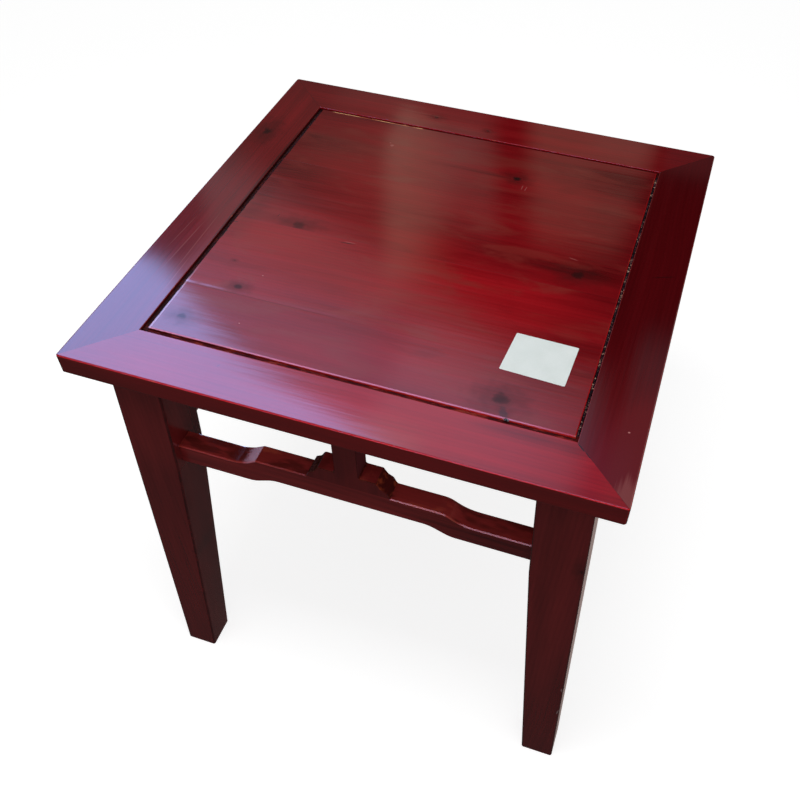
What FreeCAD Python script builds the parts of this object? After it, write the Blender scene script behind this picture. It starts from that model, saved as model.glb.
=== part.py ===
import FreeCAD, Part
import math
import os

import Sketcher

# A square eight immortals table. Lengths are in mm, +Z is up, and the origin is on the floor under the
# middle of the top. The front edge lies along X, towards -Y. Pieces that repeat round the table are
# made at the front, or at the front left corner, and turned about Z into place.

SIZES = {
    # top frame: four mitred rails
    "top_side": 720,              # side of the square top
    "table_height": 750,          # floor to the top of the frame
    "rail_width": 75,
    "rail_thickness": 30,
    "frame_corner_radius": 4,     # upright corners of the top
    "frame_top_easing": 2,        # outer arris, upper
    "frame_bottom_easing": 2,     # outer arris, lower
    "frame_inner_easing": 1,      # arris round the panel
    "mitre_tenon_thickness": 8,
    "mitre_tenon_roof": 5,        # wood left above the mitre tenon
    "mitre_tenon_outer_wall": 20,
    "mitre_tenon_inner_wall": 15,
    "mitre_tenon_end_wall": 12,
    # floating panel of edge-glued boards
    "panel_drop": 0.5,            # panel surface below the frame's
    "shadow_gap": 5.5,            # open groove round the panel
    "panel_shift_right": 1.5,     # the floating panel has settled off centre
    "panel_shift_back": 2,
    "rebate_depth": 4,
    "tongue_thickness": 10,
    "tongue_reach": 7,            # tongue inside the rail's groove
    "groove_depth": 10,
    "groove_headroom": 0.3,
    "front_board_width": 95,      # visible width of the narrow front board
    "board_easing": 1.2,          # arris round the panel's raised field
    "seam_easing": 0.25,          # arris at each glued joint
    # battens across the underside of the panel
    "batten_spacing": 260,
    "batten_width": 40,
    "dovetail_neck": 24,
    "dovetail_crown": 30,
    "dovetail_height": 5,
    "batten_tenon_width": 20,
    "batten_tenon_thickness": 8,
    "batten_tenon_length": 14,
    # splayed legs, square above the knee and tapered below it on their inner sides
    "leg_side": 72,
    "foot_side": 53,
    "leg_top_inset": 37,          # outer face to the edge of the top, under the frame
    "foot_inset": 12,             # the same on the floor
    "knee_drop": 9,               # taper starts this far below the stretchers
    "leg_easing": 3.5,
    "leg_tenon_margin": 10,
    "leg_tenon_wall": 5,
    "leg_tenon_length": 13,
    # humpback stretchers
    "stretcher_thickness": 30,
    "stretcher_height": 527,      # floor to the underside of an end
    "stretcher_end_depth": 34,    # underside to top at an end
    "hump_rise": 15,
    "hump_under_rise": 13,
    "hump_foot": 160,             # bends of the top edge, from the middle
    "hump_head": 136,
    "under_foot": 144,            # bends of the underside, from the middle
    "under_head": 114,
    "foot_bend": 60,
    "head_bend": 30,
    "crisp_bend": 4,              # the left head is sawn crisp, the right one is eased
    "under_bend": 40,
    "stretcher_easing": 1.5,
    "stretcher_tenon_thickness": 12,
    "stretcher_tenon_height": 22,
    "stretcher_tenon_length": 27,
    # struts with stepped feet
    "strut_width": 34,
    "strut_easing": 1,
    "foot_block_width": 121,
    "foot_block_height": 25.5,
    "shoulder_width": 84,
    "ledge_inner_width": 96.5,
    "ledge_outer_width": 112,
    "ledge_inner_height": 15,
    "ledge_outer_height": 10.5,
    "root_radius": 3,
    "shoulder_radius": 3.5,
    "ledge_hollow": 6,
    "ledge_nose": 4,
    "strut_tenon_width": 22,
    "strut_tenon_thickness": 12,
    "strut_tenon_length": 11,
    "block_tenon_width": 40,
    "block_tenon_length": 14,
    # fits
    "joint_clearance": 0.2,       # each side of a tenon
    "socket_gap": 0.5,            # past the end of a tenon
}

SHEET = "Sizes"
QUARTER_TURN = 90
OVERCUT = 5  # a cutting tool passes this far outside the wood

doc = FreeCAD.newDocument("eight_immortals_table")


class Size:
    """A length in mm together with the formula of sheet cells that gives it."""

    def __init__(self, value, formula=None):
        self.value = float(value)
        self.formula = formula or f"({float(value)})"

    def combine(self, other, sign, result):
        return Size(result, f"({self.formula} {sign} {other.formula})")

    def __add__(self, other):
        other = as_size(other)
        return self.combine(other, "+", self.value + other.value)

    def __sub__(self, other):
        other = as_size(other)
        return self.combine(other, "-", self.value - other.value)

    def __mul__(self, other):
        other = as_size(other)
        return self.combine(other, "*", self.value * other.value)

    def __truediv__(self, other):
        other = as_size(other)
        return self.combine(other, "/", self.value / other.value)

    def __neg__(self):
        return as_size(0) - self


def as_size(number):
    return number if isinstance(number, Size) else Size(number)


def fill_sheet():
    """Writes the driving sizes to the sheet and returns them by name."""
    sheet = doc.addObject("Spreadsheet::Sheet", SHEET)
    cells = {}
    for row, (alias, value) in enumerate(SIZES.items(), start=1):
        sheet.set(f"A{row}", alias)
        sheet.set(f"B{row}", str(value))
        sheet.setAlias(f"B{row}", alias)
        cells[alias] = Size(value, f"{SHEET}.{alias}")
    doc.recompute()
    return cells


cell = fill_sheet()

# ---- places worked out from the driving sizes ----

top_half = cell["top_side"] / 2
frame_top = cell["table_height"]
frame_bottom = frame_top - cell["rail_thickness"]
frame_opening = top_half - cell["rail_width"]  # from the middle to the rails' inner edges

panel_top = frame_top - cell["panel_drop"]
tongue_top = panel_top - cell["rebate_depth"]
panel_bottom = tongue_top - cell["tongue_thickness"]
groove_reach = frame_opening + cell["groove_depth"]
field_reach = frame_opening - cell["shadow_gap"]

strut_inset = cell["rail_width"] - cell["stretcher_thickness"]  # struts are flush inside the rails
strut_middle = top_half - strut_inset - cell["stretcher_thickness"] / 2
end_bottom = cell["stretcher_height"]
end_top = end_bottom + cell["stretcher_end_depth"]
hump_top = end_top + cell["hump_rise"]
hump_bottom = end_bottom + cell["hump_under_rise"]
knee_height = end_bottom - cell["knee_drop"]


def leg_inset(height):
    """Distance from the edge of the top in to a leg's outer faces, at a height above the floor."""
    splay = cell["leg_top_inset"] - cell["foot_inset"]
    return cell["foot_inset"] + splay * height / frame_bottom


def leg_inner_face(height):
    """Distance from the table's middle out to a leg's inner faces, above the knee."""
    return top_half - leg_inset(height) - cell["leg_side"]


# ---- ways of working a piece ----

def new_piece(label, quarter_turns=0):
    """A body turned about Z into its place round the table."""
    body = doc.addObject("PartDesign::Body", label)
    body.Label = label
    turn = FreeCAD.Rotation(FreeCAD.Vector(0, 0, 1), QUARTER_TURN * quarter_turns)
    body.Placement = FreeCAD.Placement(FreeCAD.Vector(0, 0, 0), turn)
    return body


def draw(body, name, plane, *loops, offset=as_size(0)):
    """A sketch of closed loops on an origin plane, moved along the plane's normal.

    A corner is (across, up) or (across, up, radius). Every corner is pinned to the sheet's sizes.
    """
    sketch = body.newObject("Sketcher::SketchObject", name)
    origin = [feature for feature in body.Origin.OriginFeatures if feature.Role == plane]
    sketch.AttachmentSupport = (origin[0], [""])
    sketch.MapMode = "FlatFace"
    sketch.setExpression("AttachmentOffset.Base.z", offset.formula)
    rounded = []
    for corners in loops:
        first = sketch.GeometryCount
        points = [FreeCAD.Vector(corner[0].value, corner[1].value, 0) for corner in corners]
        count = len(points)
        for index in range(count):
            sketch.addGeometry(Part.LineSegment(points[index], points[(index + 1) % count]))
        for index in range(count):
            following = first + (index + 1) % count
            sketch.addConstraint(Sketcher.Constraint("Coincident", first + index, 2, following, 1))
        for index, corner in enumerate(corners):
            pin(sketch, first + index, "DistanceX", corner[0])
            pin(sketch, first + index, "DistanceY", corner[1])
            if len(corner) == 3:
                rounded.append((first + index, corner[2]))
    for line, radius in rounded:
        sketch.fillet(line, 1, radius.value, True, True)
    arcs = [i for i, curve in enumerate(sketch.Geometry) if isinstance(curve, Part.ArcOfCircle)]
    for arc, (_, radius) in zip(arcs, rounded):
        index = sketch.addConstraint(Sketcher.Constraint("Radius", arc, radius.value))
        sketch.setExpression(f"Constraints[{index}]", radius.formula)
    return sketch


def pin(sketch, line, kind, distance):
    """Holds the start of a line at a distance from the sketch's origin."""
    index = sketch.addConstraint(Sketcher.Constraint(kind, -1, 1, line, 1, distance.value))
    sketch.setExpression(f"Constraints[{index}]", distance.formula)


def pad(body, name, sketch, length, symmetric=False):
    feature = body.newObject("PartDesign::Pad", name)
    feature.Profile = sketch
    feature.SideType = "Symmetric" if symmetric else "One side"
    feature.setExpression("Length", length.formula)
    return feature


def pocket_through(body, name, sketch):
    """Cuts a sketch's outline right through, both ways from its plane."""
    feature = body.newObject("PartDesign::Pocket", name)
    feature.Profile = sketch
    feature.SideType = "Symmetric"
    feature.Type = "ThroughAll"
    return feature


def box(body, name, action, *spans):
    """Adds or subtracts a box given as its spans along X, Y and Z."""
    feature = body.newObject(f"PartDesign::{action}Box", name)
    for side, axis, (low, high) in zip(("Length", "Width", "Height"), "xyz", spans):
        feature.setExpression(side, (high - low).formula)
        feature.setExpression(f"Placement.Base.{axis}", low.formula)
    return feature


def ease(body, name, kind, size, chosen):
    """Works a Fillet or a Chamfer along those edges of the piece so far for which chosen(edge) is true."""
    doc.recompute()
    base = body.Tip
    edges = [f"Edge{n}" for n, edge in enumerate(base.Shape.Edges, start=1) if chosen(edge)]
    feature = body.newObject(f"PartDesign::{kind}", name)
    feature.Base = (base, edges)
    feature.setExpression("Radius" if kind == "Fillet" else "Size", size.formula)
    return feature


def close(value, target, margin=0.01):
    return abs(value - target) < margin


def lies_at(edge, axis, target):
    """True where a whole edge lies in the plane axis = target."""
    bounds = edge.BoundBox
    return close(getattr(bounds, axis + "Min"), target) and close(getattr(bounds, axis + "Max"), target)


def span(middle, width, clearance=as_size(0)):
    """The two limits of a width about its middle, with a clearance on each side."""
    return middle - width / 2 - clearance, middle + width / 2 + clearance


def grown(limits, clearance):
    low, high = limits
    return low - clearance, high + clearance


def square(reach, radius=None):
    """Corners of a square about the middle, reaching so far each way."""
    corners = [(-reach, -reach), (reach, -reach), (reach, reach), (-reach, reach)]
    return [corner + (radius,) for corner in corners] if radius else corners


# ---- top frame ----

mitre_tenon_up = (
    frame_top - cell["mitre_tenon_roof"] - cell["mitre_tenon_thickness"],
    frame_top - cell["mitre_tenon_roof"],
)
mitre_tenon_across = (cell["mitre_tenon_outer_wall"], cell["rail_width"] - cell["mitre_tenon_inner_wall"])
leg_tenon_across = (
    cell["leg_top_inset"] + cell["leg_tenon_margin"],
    cell["rail_width"] - cell["leg_tenon_wall"],
)
strut_tenon_along = span(as_size(0), cell["strut_tenon_width"])
strut_tenon_across = span(-strut_middle, cell["strut_tenon_thickness"])
batten_middle = cell["batten_spacing"] / 2
batten_tenon_up = span((frame_bottom + panel_bottom) / 2, cell["batten_tenon_thickness"])


def mirrored(limits):
    low, high = limits
    return -high, -low


def make_rail(label, quarter_turns, has_tenons):
    """One side of the mitred frame: two opposite rails carry tenons, the other two their mortises."""
    body = new_piece(label, quarter_turns)
    clearance = cell["joint_clearance"]
    plan = draw(body, "frame_plan", "XY_Plane", square(top_half, cell["frame_corner_radius"]),
                square(frame_opening), offset=frame_bottom)
    pad(body, "frame_slab", plan, cell["rail_thickness"])

    def outer(edge):
        middle = edge.CenterOfMass
        return max(abs(middle.x), abs(middle.y)) > (top_half.value + frame_opening.value) / 2

    ease(body, "upper_arris", "Fillet", cell["frame_top_easing"],
         lambda edge: lies_at(edge, "Z", frame_top.value) and outer(edge))
    ease(body, "lower_arris", "Fillet", cell["frame_bottom_easing"],
         lambda edge: lies_at(edge, "Z", frame_bottom.value) and outer(edge))
    ease(body, "inner_arris", "Fillet", cell["frame_inner_easing"],
         lambda edge: lies_at(edge, "Z", frame_top.value) and not outer(edge))

    beyond = top_half + OVERCUT
    waste = draw(body, "beyond_mitres", "XY_Plane", [
        (-frame_opening, -frame_opening), (frame_opening, -frame_opening), (beyond, -beyond),
        (beyond, beyond), (-beyond, beyond), (-beyond, -beyond)])
    pocket_through(body, "mitres", waste)
    box(body, "panel_groove", "Subtractive", (-groove_reach, groove_reach), (-groove_reach, -frame_opening),
        (panel_bottom, tongue_top + cell["groove_headroom"]))
    box(body, "strut_mortise", "Subtractive", grown(strut_tenon_along, clearance),
        grown(strut_tenon_across, clearance),
        (frame_bottom, frame_bottom + cell["strut_tenon_length"] + cell["socket_gap"]))

    outer_wall, inner_wall = mitre_tenon_across
    tenon_tip = top_half - cell["mitre_tenon_end_wall"]
    tenon_side = (-top_half + outer_wall, -top_half + inner_wall)
    leg_socket = grown((-top_half + leg_tenon_across[0], -top_half + leg_tenon_across[1]), clearance)
    for side in ("left", "right"):
        place = mirrored if side == "right" else tuple
        box(body, f"leg_socket_{side}", "Subtractive", place(leg_socket), leg_socket,
            (frame_bottom, frame_bottom + cell["leg_tenon_length"] + cell["socket_gap"]))
        if has_tenons:
            box(body, f"mitre_tenon_{side}", "Additive", place((-tenon_tip, -frame_opening)), tenon_side,
                mitre_tenon_up)
            box(body, f"batten_mortise_{side}", "Subtractive",
                place(span(-batten_middle, cell["batten_tenon_width"], clearance)),
                (-frame_opening - cell["batten_tenon_length"] - cell["socket_gap"], -frame_opening),
                grown(batten_tenon_up, clearance))
        else:
            box(body, f"mitre_mortise_{side}", "Subtractive", place(grown(tenon_side, clearance)),
                (-tenon_tip - cell["socket_gap"], -frame_opening), grown(mitre_tenon_up, clearance))
    return body


# ---- floating panel ----

field_left = cell["panel_shift_right"] - field_reach
field_right = cell["panel_shift_right"] + field_reach
field_front = cell["panel_shift_back"] - field_reach
field_back = cell["panel_shift_back"] + field_reach
tongue_width = cell["shadow_gap"] + cell["tongue_reach"]


def dovetail(middle, height, clearance=as_size(0)):
    """Corners of a batten's dovetail, from its neck on the panel's underside up to its crown."""
    neck = cell["dovetail_neck"] / 2 + clearance
    crown = cell["dovetail_crown"] / 2 + clearance
    return [(middle + neck, panel_bottom), (middle + crown, height), (middle - crown, height),
            (middle - neck, panel_bottom)]


def make_board(label, front, back):
    """A board along X. None for front or back means the panel's own edge, with its tongue."""
    body = new_piece(label)
    wood_front = field_front - tongue_width if front is None else front
    wood_back = field_back + tongue_width if back is None else back
    across = (wood_front, wood_back)
    above = (tongue_top, panel_top)
    wood_left = field_left - tongue_width
    wood_right = field_right + tongue_width
    box(body, "board", "Additive", (wood_left, wood_right), across, (panel_bottom, panel_top))
    box(body, "left_rebate", "Subtractive", (wood_left, field_left), across, above)
    box(body, "right_rebate", "Subtractive", (field_right, wood_right), across, above)
    if front is None:
        box(body, "front_rebate", "Subtractive", (wood_left, wood_right), (wood_front, field_front), above)
    if back is None:
        box(body, "back_rebate", "Subtractive", (wood_left, wood_right), (field_back, wood_back), above)

    def rim(edge):
        at_end = lies_at(edge, "X", field_left.value) or lies_at(edge, "X", field_right.value)
        at_side = (front is None and lies_at(edge, "Y", field_front.value)
                   or back is None and lies_at(edge, "Y", field_back.value))
        return lies_at(edge, "Z", panel_top.value) and (at_end or at_side)

    def seam(edge):
        at_seam = (front is not None and lies_at(edge, "Y", wood_front.value)
                   or back is not None and lies_at(edge, "Y", wood_back.value))
        return lies_at(edge, "Z", panel_top.value) and at_seam

    ease(body, "rim_arris", "Chamfer", cell["board_easing"], rim)
    ease(body, "seam_arris", "Chamfer", cell["seam_easing"], seam)
    slot_top = panel_bottom + cell["dovetail_height"] + cell["joint_clearance"]
    for side, middle in (("left", -batten_middle), ("right", batten_middle)):
        outline = draw(body, f"dovetail_{side}", "XZ_Plane",
                       dovetail(middle, slot_top, cell["joint_clearance"]))
        pocket_through(body, f"batten_slot_{side}", outline)
    return body


def make_panel():
    """The front board is narrow, and three equal boards share the rest of the panel."""
    first_seam = field_front + cell["front_board_width"]
    share = (field_back - first_seam) / 3
    seams = [None, first_seam, first_seam + share, field_back - share, None]
    labels = ("panel_board_front", "panel_board_mid_front", "panel_board_mid_back", "panel_board_back")
    return [make_board(label, seams[n], seams[n + 1]) for n, label in enumerate(labels)]


def make_batten(label, middle):
    """A bar along Y under the panel, dovetailed up into the boards and tenoned into the rails."""
    body = new_piece(label)
    half = cell["batten_width"] / 2
    crown_height = panel_bottom + cell["dovetail_height"]
    section = [(middle - half, frame_bottom), (middle + half, frame_bottom), (middle + half, panel_bottom)]
    section += dovetail(middle, crown_height)
    section += [(middle - half, panel_bottom)]
    pad(body, "bar", draw(body, "section", "XZ_Plane", section), frame_opening * 2, symmetric=True)
    tip = frame_opening + cell["batten_tenon_length"]
    along = span(middle, cell["batten_tenon_width"])
    box(body, "front_tenon", "Additive", along, (-tip, -frame_opening), batten_tenon_up)
    box(body, "back_tenon", "Additive", along, (frame_opening, tip), batten_tenon_up)
    return body


# ---- legs ----

stretcher_tenon_across = span(-strut_middle, cell["stretcher_tenon_thickness"])
stretcher_tenon_up = span((end_bottom + end_top) / 2, cell["stretcher_tenon_height"])
stretcher_tenon_tip = leg_inner_face((end_bottom + end_top) / 2) + cell["stretcher_tenon_length"]


def make_leg(label, quarter_turns):
    """A leg at the front left corner: both outer faces splay, both inner faces taper below the knee."""
    body = new_piece(label, quarter_turns)
    stations = (
        ("foot", as_size(0), cell["foot_side"]),
        ("knee", knee_height, cell["leg_side"]),
        ("head", frame_bottom, cell["leg_side"]),
    )
    sections = []
    for name, height, side in stations:
        low = leg_inset(height) - top_half
        high = low + side
        corners = [(low, low), (high, low), (high, high), (low, high)]
        easing = (cell["leg_easing"],)
        sections.append(draw(body, name, "XY_Plane", [corner + easing for corner in corners], offset=height))
    post = body.newObject("PartDesign::AdditiveLoft", "post")
    post.Profile = sections[0]
    post.Sections = sections[1:]
    post.Ruled = True
    tenon = (-top_half + leg_tenon_across[0], -top_half + leg_tenon_across[1])
    box(body, "head_tenon", "Additive", tenon, tenon, (frame_bottom, frame_bottom + cell["leg_tenon_length"]))
    clearance = cell["joint_clearance"]
    along = (-stretcher_tenon_tip - cell["socket_gap"], -leg_inner_face(end_top) + OVERCUT)
    across = grown(stretcher_tenon_across, clearance)
    upward = grown(stretcher_tenon_up, clearance)
    box(body, "mortise_along_x", "Subtractive", along, across, upward)
    box(body, "mortise_along_y", "Subtractive", across, along, upward)
    return body


# ---- humpback stretchers ----

def make_stretcher(label, quarter_turns):
    """Straight ends and a raised middle, joined by ogee bends above and below."""
    body = new_piece(label, quarter_turns)
    top_bend = cell["foot_bend"]
    under_bend = cell["under_bend"]
    lower_end = leg_inner_face(end_bottom)
    upper_end = leg_inner_face(end_top)
    edge_line = [
        (-upper_end, end_top), (-lower_end, end_bottom),
        (-cell["under_foot"], end_bottom, under_bend), (-cell["under_head"], hump_bottom, under_bend),
        (cell["under_head"], hump_bottom, under_bend), (cell["under_foot"], end_bottom, under_bend),
        (lower_end, end_bottom), (upper_end, end_top),
        (cell["hump_foot"], end_top, top_bend), (cell["hump_head"], hump_top, cell["head_bend"]),
        (-cell["hump_head"], hump_top, cell["crisp_bend"]), (-cell["hump_foot"], end_top, top_bend),
    ]
    side_view = draw(body, "side_view", "XZ_Plane", edge_line, offset=strut_middle)
    pad(body, "bar", side_view, cell["stretcher_thickness"], symmetric=True)
    front = -strut_middle.value - cell["stretcher_thickness"].value / 2
    back = front + cell["stretcher_thickness"].value

    def long_arris(edge):
        reach = max(abs(edge.BoundBox.XMin), abs(edge.BoundBox.XMax))
        upright = edge.BoundBox.ZLength > cell["stretcher_end_depth"].value / 2 and reach > upper_end.value
        return (lies_at(edge, "Y", front) or lies_at(edge, "Y", back)) and not upright

    ease(body, "arrises", "Chamfer", cell["stretcher_easing"], long_arris)
    across = span(-strut_middle, cell["stretcher_thickness"])
    # under the strut's foot the arrises stay square
    box(body, "seat", "Additive", span(as_size(0), cell["foot_block_width"]), across,
        (hump_top - cell["stretcher_easing"] * 2, hump_top))
    socket = grown(span(as_size(0), cell["block_tenon_width"]), cell["joint_clearance"])
    box(body, "block_socket", "Subtractive", socket, grown(strut_tenon_across, cell["joint_clearance"]),
        (hump_top - cell["block_tenon_length"] - cell["socket_gap"], hump_top))
    root = upper_end - OVERCUT
    box(body, "left_tenon", "Additive", (-stretcher_tenon_tip, -root), stretcher_tenon_across,
        stretcher_tenon_up)
    box(body, "right_tenon", "Additive", (root, stretcher_tenon_tip), stretcher_tenon_across,
        stretcher_tenon_up)
    return body


# ---- struts ----

def make_strut(label, quarter_turns):
    """A short post on a stepped foot, sawn from one board: it props the rail on the stretcher."""
    body = new_piece(label, quarter_turns)
    right_side = [
        (cell["foot_block_width"] / 2, hump_top),
        (cell["ledge_outer_width"] / 2, hump_top + cell["ledge_outer_height"], cell["ledge_nose"]),
        (cell["ledge_inner_width"] / 2, hump_top + cell["ledge_inner_height"], cell["ledge_hollow"]),
        (cell["shoulder_width"] / 2, hump_top + cell["foot_block_height"], cell["shoulder_radius"]),
        (cell["strut_width"] / 2, hump_top + cell["foot_block_height"], cell["root_radius"]),
        (cell["strut_width"] / 2, frame_bottom),
    ]
    left_side = [(-corner[0],) + corner[1:] for corner in reversed(right_side)]
    front_view = draw(body, "front_view", "XZ_Plane", right_side + left_side, offset=strut_middle)
    pad(body, "post_and_foot", front_view, cell["stretcher_thickness"], symmetric=True)

    def long_arris(edge):
        level = lies_at(edge, "Z", hump_top.value) or lies_at(edge, "Z", frame_bottom.value)
        return edge.BoundBox.YLength < cell["stretcher_thickness"].value / 2 and not level

    ease(body, "arrises", "Chamfer", cell["strut_easing"], long_arris)
    box(body, "head_tenon", "Additive", strut_tenon_along, strut_tenon_across,
        (frame_bottom, frame_bottom + cell["strut_tenon_length"]))
    box(body, "block_tenon", "Additive", span(as_size(0), cell["block_tenon_width"]), strut_tenon_across,
        (hump_top - cell["block_tenon_length"], hump_top))
    return body


# ---- the table ----

def make_table():
    pieces = make_panel()
    pieces.append(make_batten("panel_batten_left", -batten_middle))
    pieces.append(make_batten("panel_batten_right", batten_middle))
    corners = ("front_left", "front_right", "back_right", "back_left")
    for turns, side in enumerate(("front", "right", "back", "left")):
        pieces.append(make_rail(f"frame_rail_{side}", turns, has_tenons=side in ("front", "back")))
        pieces.append(make_leg(f"leg_{corners[turns]}", turns))
        pieces.append(make_stretcher(f"stretcher_{side}", turns))
        pieces.append(make_strut(f"strut_{side}", turns))
    return pieces


def check(pieces):
    """Stops on any failed object, and on any cut or addition that changed nothing."""
    for thing in doc.Objects:
        if {"Invalid", "Error"} & set(thing.State):
            raise RuntimeError(f"{thing.Label} failed: {thing.State}")
    for body in pieces:
        if body.Shape.isNull() or not body.Shape.isValid() or len(body.Shape.Solids) != 1:
            raise RuntimeError(f"{body.Label} is not one valid solid")
        volume = 0
        for feature in body.Group:
            if feature.isDerivedFrom("PartDesign::Feature"):
                change = feature.Shape.Volume - volume
                volume = feature.Shape.Volume
                adds = any(word in feature.TypeId for word in ("Additive", "Pad"))
                if adds != (change > 0) or math.isclose(change, 0):
                    raise RuntimeError(f"{body.Label}: {feature.Label} changed the volume by {change}")


def write(pieces):
    os.makedirs("parts", exist_ok=True)
    for body in pieces:
        body.Shape.exportStep(f"parts/{body.Label}.step")


table = make_table()
doc.recompute()
check(table)
write(table)
print(f"{len(table)} pieces written")
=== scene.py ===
import math

import bmesh
import bpy
from mathutils import Matrix, Vector, noise


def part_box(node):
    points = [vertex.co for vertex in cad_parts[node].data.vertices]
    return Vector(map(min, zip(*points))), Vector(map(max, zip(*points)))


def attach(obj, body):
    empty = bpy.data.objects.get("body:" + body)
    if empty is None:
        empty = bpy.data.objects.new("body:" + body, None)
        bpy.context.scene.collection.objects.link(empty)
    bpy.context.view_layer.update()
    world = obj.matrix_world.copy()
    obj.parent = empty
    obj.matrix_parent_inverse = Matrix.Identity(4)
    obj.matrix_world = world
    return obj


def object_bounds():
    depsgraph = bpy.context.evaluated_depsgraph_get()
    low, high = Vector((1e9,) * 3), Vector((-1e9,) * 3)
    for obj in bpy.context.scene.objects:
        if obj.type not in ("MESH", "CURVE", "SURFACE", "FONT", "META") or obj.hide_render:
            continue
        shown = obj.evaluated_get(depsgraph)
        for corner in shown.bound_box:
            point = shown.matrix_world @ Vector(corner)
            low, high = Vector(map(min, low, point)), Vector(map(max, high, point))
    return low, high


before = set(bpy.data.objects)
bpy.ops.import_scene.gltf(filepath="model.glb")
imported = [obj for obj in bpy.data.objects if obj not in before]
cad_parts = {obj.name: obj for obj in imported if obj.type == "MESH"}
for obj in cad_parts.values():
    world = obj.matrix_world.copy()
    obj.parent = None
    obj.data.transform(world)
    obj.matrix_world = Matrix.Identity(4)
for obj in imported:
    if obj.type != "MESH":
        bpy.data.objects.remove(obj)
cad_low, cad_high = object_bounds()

# Metres, +Z up, the origin on the floor under the middle of the top, the front edge towards -Y.

MM = 0.001
SCENE = bpy.context.scene

# ---- places taken from the frame ----

TOP = cad_high.z                                     # top of the mitred frame
PANEL_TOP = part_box("panel_board_front")[1].z         # a little lower
LEDGE = PANEL_TOP - 4 * MM                           # bottom of the groove round the panel
SEAMS = (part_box("panel_board_mid_front")[0].y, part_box("panel_board_mid_back")[0].y,
         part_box("panel_board_back")[0].y)

# A board's box takes in its tongues and a rail's its mitres, so the edges that show are given here, as
# the CAD source has them: the panel's visible field and the inner faces of the rails.
FIELD = {"left": -278 * MM, "right": 281 * MM, "front": -277.5 * MM, "back": 281.5 * MM}
RAIL_INNER = 285 * MM

# ---- colours, in linear light ----

# near black, for cracks, seams, dark marks and the panel's ragged left border
NEAR_BLACK = (0.006, 0.003, 0.003)
KNOT = (0.016, 0.005, 0.005)
RUBBED_RED_AND_HIGHLIGHT = (0.62, 0.010, 0.014)         # thin lacquer on an arris, and a painted highlight along it
WORN_THROUGH = (0.42, 0.09, 0.045)
SCUFF = (0.42, 0.16, 0.15)
# a painted highlight, on the panel's left arris
ARRIS_HIGHLIGHT = (0.34, 0.17, 0.25)
GROOVE_SHADE = (0.030, 0.004, 0.003)


# ---- shader graphs ----

class Graph:
    """Writes shader nodes as plain calls: a value is a number, a colour, a vector or a node's output."""

    def __init__(self, tree):
        self.tree = tree
        self.tree.nodes.clear()

    def node(self, kind, inputs=(), **settings):
        made = self.tree.nodes.new("ShaderNode" + kind)
        for name, value in settings.items():
            setattr(made, name, value)
        for key, value in dict(inputs).items():
            self.put(made.inputs[key], value)
        return made

    def put(self, socket, value):
        if isinstance(value, bpy.types.NodeSocket):
            self.tree.links.new(value, socket)
        elif socket.type == "RGBA":
            socket.default_value = (*value, 1)
        else:
            socket.default_value = value

    def math(self, operation, *values, clamp=False):
        made = self.node("Math", dict(enumerate(values)), operation=operation, use_clamp=clamp)
        return made.outputs[0]

    def add(self, *values):
        total = values[0]
        for value in values[1:]:
            total = self.math("ADD", total, value)
        return total

    def times(self, *values):
        total = values[0]
        for value in values[1:]:
            total = self.math("MULTIPLY", total, value)
        return total

    def minus(self, first, second):
        return self.math("SUBTRACT", first, second)

    def size(self, value):
        return self.math("ABSOLUTE", value)

    def most(self, *values):
        best = values[0]
        for value in values[1:]:
            best = self.math("MAXIMUM", best, value)
        return best

    def rise(self, value, low, high):
        """0 below low, 1 above high and smooth between them; low may be the larger one."""
        made = self.node("MapRange", {"Value": value, "From Min": low, "From Max": high},
                         interpolation_type="SMOOTHSTEP")
        return made.outputs[0]

    def vector(self, x, y, z):
        return self.node("CombineXYZ", {0: x, 1: y, 2: z}).outputs[0]

    def parts(self, vector):
        return self.node("SeparateXYZ", {0: vector}).outputs[:]

    def stretch(self, vector, scale, shift=(0, 0, 0)):
        made = self.node("Mapping", {"Vector": vector, "Location": shift, "Scale": scale})
        return made.outputs[0]

    def lean(self, share, first, second):
        """One direction mixed into another."""
        return self.node("Mix", {0: share, 4: first, 5: second}, data_type="VECTOR").outputs[1]

    def noise(self, at, detail=2, roughness=0.5, distortion=0):
        """Noise about 0, mostly between -0.25 and 0.25."""
        made = self.node("TexNoise", {"Vector": at, "Scale": 1, "Detail": detail, "Roughness": roughness,
                                      "Distortion": distortion})
        return self.minus(made.outputs["Fac"], 0.5)

    def mix(self, share, first, second, blend="MIX"):
        made = self.node("Mix", data_type="RGBA", blend_type=blend)
        for index, value in ((0, share), (6, first), (7, second)):
            self.put(made.inputs[index], value)
        return made.outputs[2]

    def along(self, x, y, angle):
        """Distance along a direction in the plane, in degrees from +X."""
        turn = math.radians(angle)
        return self.add(self.times(x, math.cos(turn)), self.times(y, math.sin(turn)))

    def spot(self, x, y, centre, radii, angle=0):
        """Distance from a centre counted in the radii of an ellipse that lies at an angle."""
        x, y = self.minus(x, centre[0]), self.minus(y, centre[1])
        major = self.times(self.along(x, y, angle), 1 / radii[0])
        minor = self.times(self.along(x, y, angle + 90), 1 / radii[1])
        return self.math("SQRT", self.add(self.times(major, major), self.times(minor, minor)))


def new_material(name):
    material = bpy.data.materials.new(name)
    material.use_nodes = True
    return material, Graph(material.node_tree)


# ---- lacquered wood ----

GRAIN_AXES = {"x": (0, 1, 2), "y": (1, 0, 2), "z": (2, 0, 1)}
RING_WIDTH = 5.5 * MM
SEED_STEP = (1.37, 2.11, 0.73)            # how far a seed moves a noise along each axis
GROOVE_SHADING = {"rail": (0.8 * MM, 3.4 * MM), "board": (1.6 * MM, 4.4 * MM)}    # from and to which depth
COAT, SPECULAR, COAT_ROUGHNESS = 0.4, 0.5, 0.06


def tint(red, brown=0):
    """The lacquer's colour for a given red: the other channels stay close to black, unless it is browner."""
    return (red, 0.0006 + (0.017 + brown) * red, 0.0012 + (0.028 + 0.85 * brown) * red)


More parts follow.
